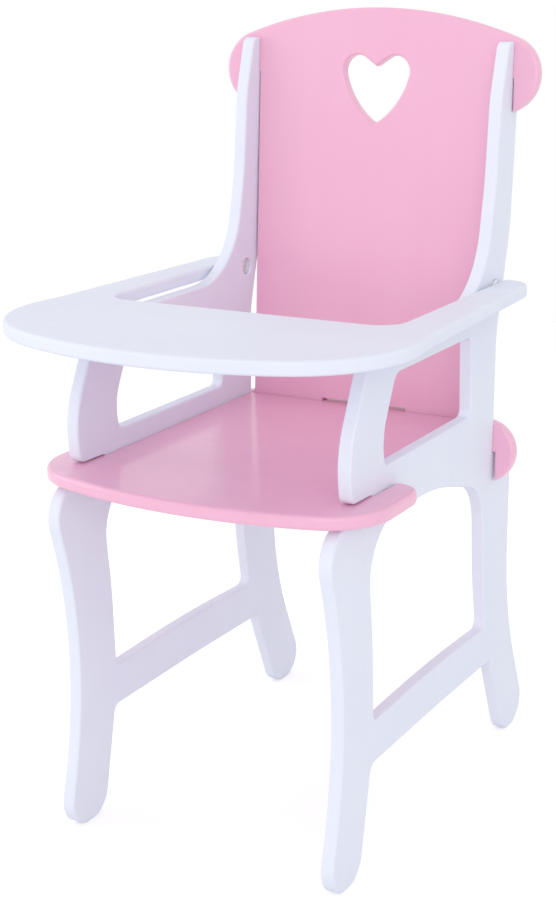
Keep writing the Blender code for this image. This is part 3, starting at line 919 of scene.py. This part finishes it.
@dataclass
class Turned:
    """A small piece turned about the hinge's axis."""

    name: str
    profile: Profile
    tube: bool
    sides: int = 72
    hexagon: float = 0.0

    def mesh(self, side: int, centre: Vector) -> bpy.types.Mesh:
        """Turn the profile.

        Args:
            side: 1 for the chair's right and -1 for its left.
            centre: a point on the axis.

        Returns:
            The mesh, in the row frame.
        """
        solid = bmesh.new()
        wear = solid.verts.layers.float.new("edge")
        rings = []
        for station, radius in self.profile:
            ring = []
            for index in range(self.sides):
                angle = 2 * pi * index / self.sides
                reach = radius
                if self.hexagon and radius == self.hexagon:
                    flat = pi / 3
                    reach = radius / cos((angle + flat / 2) % flat - flat / 2)
                spot = (side * station, centre.y + reach * cos(angle), centre.z + reach * sin(angle))
                vert = solid.verts.new(spot)
                vert[wear] = 0.0
                ring.append(vert)
            rings.append(ring)
        pairs = list(zip(rings, rings[1:]))
        if self.tube:
            pairs.append((rings[-1], rings[0]))
        for near, far in pairs:
            for index in range(self.sides):
                solid.faces.new((near[index - 1], far[index - 1], far[index], near[index]))
        if not self.tube:
            solid.faces.new(rings[0])
            solid.faces.new(rings[-1])
        bmesh.ops.recalc_face_normals(solid, faces=solid.faces[:])
        data = bpy.data.meshes.new(self.name)
        solid.to_mesh(data)
        solid.free()
        return data


def softened(corners: Profile, radius: float, steps: int = 3) -> Profile:
    """Round every corner of an open profile.

    Args:
        corners: the profile's corners.
        radius: how far along each side a corner's rounding starts.
        steps: facets in each corner.

    Returns:
        The rounded profile.
    """
    spots = [Vector(corner) for corner in corners]
    rounded = [corners[0]]
    for before, here, after in zip(spots, spots[1:], spots[2:]):
        reach = min(radius, (before - here).length / 3, (after - here).length / 3)
        start = here + (before - here).normalized() * reach
        end = here + (after - here).normalized() * reach
        for step in range(steps + 1):
            share = step / steps
            spot = start * (1 - share) ** 2 + here * 2 * share * (1 - share) + end * share**2
            rounded.append((spot.x, spot.y))
    rounded.append(corners[-1])
    return rounded


@dataclass
class PivotSet:
    """Bush, screw and threaded insert that carry one of the tray's arms."""

    panel_face: float = 91.0 * MM
    recess: float = 1.5 * MM
    gap: float = 0.3 * MM
    arm_face: float = 102.0 * MM
    bush_radius: float = 5.7 * MM
    bush_chamfer: float = 0.8 * MM
    bore: float = 2.3 * MM
    head_radius: float = 3.8 * MM
    head_height: float = 2.2 * MM
    shank: float = 1.95 * MM
    shank_length: float = 16.0 * MM
    socket: float = 1.25 * MM
    socket_depth: float = 1.3 * MM
    insert_radius: float = 2.9 * MM
    insert_bore: float = 2.25 * MM
    insert_length: float = 10.0 * MM
    dome: tuple[tuple[float, float], ...] = (
        (0.0, 0.55),
        (0.12 * MM, 0.8),
        (0.5 * MM, 0.96),
        (0.9 * MM, 1.0),
    )
    ribs: int = 6
    rib_margin: float = 0.8 * MM
    rib_depth: float = 0.35 * MM
    rib_crest: float = 0.1
    rib_flank: float = 0.35
    rounding: float = 0.35 * MM
    crease: float = radians(34)

    def bush(self) -> Turned:
        """The nylon bush: a sleeve with a pocket for the screw's head.

        Returns:
            Its profile, ready to turn.
        """
        near = self.panel_face + self.recess
        far = self.arm_face - self.gap
        seat = near + 2 * self.gap + self.head_height
        pocket = self.head_radius + self.gap
        rim = self.bush_radius - self.bush_chamfer
        corners = [
            (seat, pocket),
            (near, pocket),
            (near, rim),
            (near + self.bush_chamfer, self.bush_radius),
            (far - self.bush_chamfer, self.bush_radius),
            (far, rim),
            (far, self.bore),
            (seat, self.bore),
        ]
        return Turned("pivot_bush", softened(corners, self.rounding), True)

    def screw(self) -> Turned:
        """The screw: a low round head with a hexagon socket, and a plain shank.

        Returns:
            Its profile, ready to turn.
        """
        near = self.panel_face + self.recess + self.gap
        under = near + self.head_height
        end = under + self.shank_length
        tip = self.shank - self.bush_chamfer
        dome = [(near + depth, self.head_radius * share) for depth, share in self.dome]
        rest = [
            (under, self.head_radius),
            (under, self.shank),
            (end - self.bush_chamfer, self.shank),
            (end, tip),
        ]
        start = [(near + self.socket_depth, self.socket), (near, self.socket)]
        return Turned("pivot_screw", start + dome + rest, False, hexagon=self.socket)

    def insert(self) -> Turned:
        """The threaded insert: a sleeve with coarse ribs that grip the wood.

        Returns:
            Its profile, ready to turn.
        """
        near = self.arm_face + self.gap
        far = near + self.insert_length
        root = self.insert_radius - self.rib_depth
        corners = [(near, self.insert_bore), (near, self.insert_radius)]
        pitch = (self.insert_length - 2 * self.rib_margin) / self.ribs
        crest, flank = self.rib_crest * pitch, self.rib_flank * pitch
        for rib in range(self.ribs):
            start = near + self.rib_margin + rib * pitch
            end = start + pitch
            corners += [(start + crest, self.insert_radius), (start + flank, root)]
            corners += [(end - flank, root), (end - crest, self.insert_radius)]
        corners += [(far, self.insert_radius), (far, self.insert_bore)]
        return Turned("arm_insert", corners, True)

    def build(self, nylon: Nylon, zinc: Zinc, effects: Effects) -> list[bpy.types.Object]:
        """Build both sides' sets.

        Args:
            nylon: the bush's finish.
            zinc: the metal's finish.
            effects: the shared groups.

        Returns:
            The pieces.
        """
        looks = {Slot.NYLON: nylon.material(effects), Slot.ZINC: zinc.material(effects)}
        bodies = frame["record"]["behaviour"]["bodies"]
        turnings = ((self.bush(), Slot.NYLON), (self.screw(), Slot.ZINC), (self.insert(), Slot.ZINC))
        pieces = []
        for side_name, side in (("left", -1), ("right", 1)):
            low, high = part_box(f"{side_name}_arm_insert")
            centre = (low + high) / 2
            for turned, slot in turnings:
                node = f"{side_name}_{turned.name}"
                piece = bpy.data.objects.new(f"{node}_fine", turned.mesh(side, centre))
                bpy.context.collection.objects.link(piece)
                piece.data.materials.append(looks[slot])
                piece.data.shade_smooth()
                piece.data.set_sharp_from_angle(angle=self.crease)
                body = next(name for name, nodes in bodies.items() if node in nodes)
                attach(piece, body)
                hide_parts(node)
                LOG.info("%s: %d faces, rides on %s", piece.name, len(piece.data.polygons), body)
                pieces.append(piece)
        return pieces


@dataclass
class Chair:
    """The standing chair: two side panels, the backrest and the seat."""

    panel_grain: Grain = Grain.UPRIGHT
    back_grain: Grain = Grain.UPRIGHT
    seat_grain: Grain = Grain.LENGTHWISE

    def build(self, white: Paint, pink: Paint, effects: Effects) -> list[bpy.types.Object]:
        """Build the chair's boards.

        Args:
            white: the panels' paint.
            pink: the backrest's and seat's paint.
            effects: the shared groups.

        Returns:
            The pieces.
        """
        return [
            Board("left_side_panel", Body.CHAIR, self.panel_grain).build(white, effects),
            Board("right_side_panel", Body.CHAIR, self.panel_grain).build(white, effects),
            Board("backrest", Body.CHAIR, self.back_grain).build(pink, effects),
            Board("seat", Body.CHAIR, self.seat_grain).build(pink, effects),
        ]


@dataclass
class Table:
    """The tray that swings over the arms."""

    grain: Grain = Grain.ACROSS
    pocket: Pocket = field(default_factory=Pocket)

    def build(self, white: Paint, effects: Effects) -> bpy.types.Object:
        """Build the tray.

        Args:
            white: its paint.
            effects: the shared groups.

        Returns:
            The piece.
        """
        return Board("tray", Body.TRAY, self.grain, pocket=self.pocket).build(white, effects)


@dataclass
class Lamp:
    """One soft rectangular studio lamp that faces the chair."""

    name: str
    place: tuple[float, float, float]
    power: float
    size: float
    colour: Colour = PALE

    def build(self, target: Vector) -> bpy.types.Object:
        """Hang the lamp.

        Args:
            target: the point that it faces.

        Returns:
            The lamp.
        """
        light = bpy.data.lights.new(self.name, "AREA")
        light.energy = self.power
        light.size = self.size
        light.color = self.colour
        lamp = bpy.data.objects.new(self.name, light)
        bpy.context.collection.objects.link(lamp)
        lamp.location = self.place
        lamp.rotation_euler = (target - lamp.location).to_track_quat("-Z", "Y").to_euler()
        return lamp


@dataclass
class Studio:
    """A white studio: an even sky, soft lamps, a pale floor and the photograph's camera."""

    target: tuple[float, float, float] = (-0.000465, -0.01075, 0.24380)
    distance: float = 1.13459
    azimuth: float = radians(29.0202)
    elevation: float = radians(15.8883)
    roll: float = radians(-0.434)
    focal: float = 69.592
    sensor: float = 36.0
    sky: float = 0.88
    sky_colour: Colour = (0.98, 0.99, 1.0)
    floor_colour: Colour = (0.84, 0.84, 0.85)
    floor_glow: float = 0.34
    floor_half: float = 14.0
    floor_fade: tuple[float, float] = (0.5, 1.6)
    floor_drop: float = 0.2 * MM
    floor_sides: int = 96
    nearest: float = 0.05
    lamps: tuple[Lamp, ...] = (
        Lamp("key_lamp", (1.35, -2.65, 1.15), 19.0, 2.2),
        Lamp("right_lamp", (2.6, -1.0, 0.9), 3.0, 1.8),
        Lamp("left_lamp", (-2.6, -1.0, 0.9), 16.0, 1.8),
    )

    @staticmethod
    def _seen(sheet: NodeSheet) -> Socket:
        """Whether a ray comes from the camera, straight or by gloss or glass.

        Args:
            sheet: the sheet to ask on.

        Returns:
            A socket that is 1 for such a ray and 0 for any other.
        """
        path = sheet.add("LightPath").outputs
        glossy = sheet.maths("MAXIMUM", path["Is Camera Ray"], path["Is Glossy Ray"])
        return sheet.maths("MAXIMUM", glossy, path["Is Transmission Ray"])

    def camera(self) -> bpy.types.Object:
        """Set the camera at the photograph's view.

        Returns:
            The camera.
        """
        data = bpy.data.cameras.new("camera")
        data.sensor_width = self.sensor
        data.lens = self.focal
        data.clip_start = self.nearest
        shot = bpy.data.objects.new("camera", data)
        bpy.context.collection.objects.link(shot)
        back = Vector(
            (
                sin(self.azimuth) * cos(self.elevation),
                -cos(self.azimuth) * cos(self.elevation),
                sin(self.elevation),
            )
        )
        shot.location = Vector(self.target) + back * self.distance
        aim = (-back).to_track_quat("-Z", "Y").to_matrix() @ Matrix.Rotation(self.roll, 3, "Z")
        shot.rotation_euler = aim.to_euler()
        bpy.context.scene.camera = shot
        return shot

    def world(self) -> None:
        """Light the scene evenly, and show plain white behind it."""
        world = bpy.data.worlds.new("studio")
        world.use_nodes = True
        world.node_tree.nodes.clear()
        sheet = NodeSheet(world.node_tree)
        lit = sheet.add("Background", {"Color": (*self.sky_colour, 1.0), "Strength": self.sky})
        shown = sheet.add("Background", {"Color": (*PALE, 1.0), "Strength": 1.0})
        mixed = sheet.add("MixShader", {0: self._seen(sheet), 1: lit.outputs[0], 2: shown.outputs[0]})
        sheet.add("OutputWorld", {"Surface": mixed.outputs[0]})
        bpy.context.scene.world = world

    def floor(self) -> bpy.types.Object:
        """Lay the floor.

        Returns:
            The floor.
        """
        plate = bmesh.new()
        bmesh.ops.create_circle(plate, cap_ends=True, segments=self.floor_sides, radius=self.floor_half)
        data = bpy.data.meshes.new("studio_floor")
        plate.to_mesh(data)
        plate.free()
        made = bpy.data.materials.new("studio_floor")
        made.use_nodes = True
        made.node_tree.nodes.clear()
        sheet = NodeSheet(made.node_tree)
        diffuse = sheet.add("BsdfDiffuse", {"Color": (*self.floor_colour, 1.0)})
        strength = sheet.maths("MULTIPLY", self._seen(sheet), self.floor_glow)
        glow = sheet.add("Emission", {"Color": (*PALE, 1.0), "Strength": strength})
        both = sheet.add("AddShader", {0: diffuse.outputs[0], 1: glow.outputs[0]})
        white = sheet.add("Emission", {"Color": (*PALE, 1.0), "Strength": 1.0})
        place = sheet.add("TexCoord").outputs["Object"]
        reach = sheet.add("VectorMath", {0: place}, operation="LENGTH").outputs["Value"]
        far = sheet.maths("MULTIPLY", sheet.span(reach, *self.floor_fade), self._seen(sheet))
        faded = sheet.add("MixShader", {0: far, 1: both.outputs[0], 2: white.outputs[0]})
        sheet.add("OutputMaterial", {"Surface": faded.outputs[0]})
        data.materials.append(made)
        ground = bpy.data.objects.new("studio_floor", data)
        bpy.context.collection.objects.link(ground)
        ground.location = (0.0, 0.0, -self.floor_drop)
        return ground

    def build(self) -> None:
        """Set up light, floor and camera."""
        self.camera()
        self.world()
        self.floor()
        for lamp in self.lamps:
            lamp.build(Vector(self.target))
            LOG.info("%s hung", lamp.name)
        bpy.context.scene.view_settings.view_transform = "Standard"


WHITE = Paint(
    Slot.WHITE,
    (0.80, 0.825, 0.925),
    0.48,
    shade=(0.785, 0.81, 0.915),
    undercoat=(0.72, 0.73, 0.79),
    coat=0.0,
    gleam=0.25,
)
PINK = Paint(
    Slot.PINK,
    (0.875, 0.465, 0.635),
    0.42,
    shade=(0.865, 0.45, 0.62),
    undercoat=(0.88, 0.58, 0.69),
    coat=0.55,
)
NYLON = Nylon(Slot.NYLON, (0.82, 0.82, 0.85), 0.38)
ZINC = Zinc(Slot.ZINC, (0.86, 0.86, 0.89), 0.36)


def main() -> None:
    """Build the whole scene in order."""
    logging.basicConfig(level=logging.INFO, format="%(name)s: %(message)s")
    Studio().build()
    effects = Effects()
    Chair().build(WHITE, PINK, effects)
    Table().build(WHITE, effects)
    PivotSet().build(NYLON, ZINC, effects)


if __name__ == "__main__":
    main()
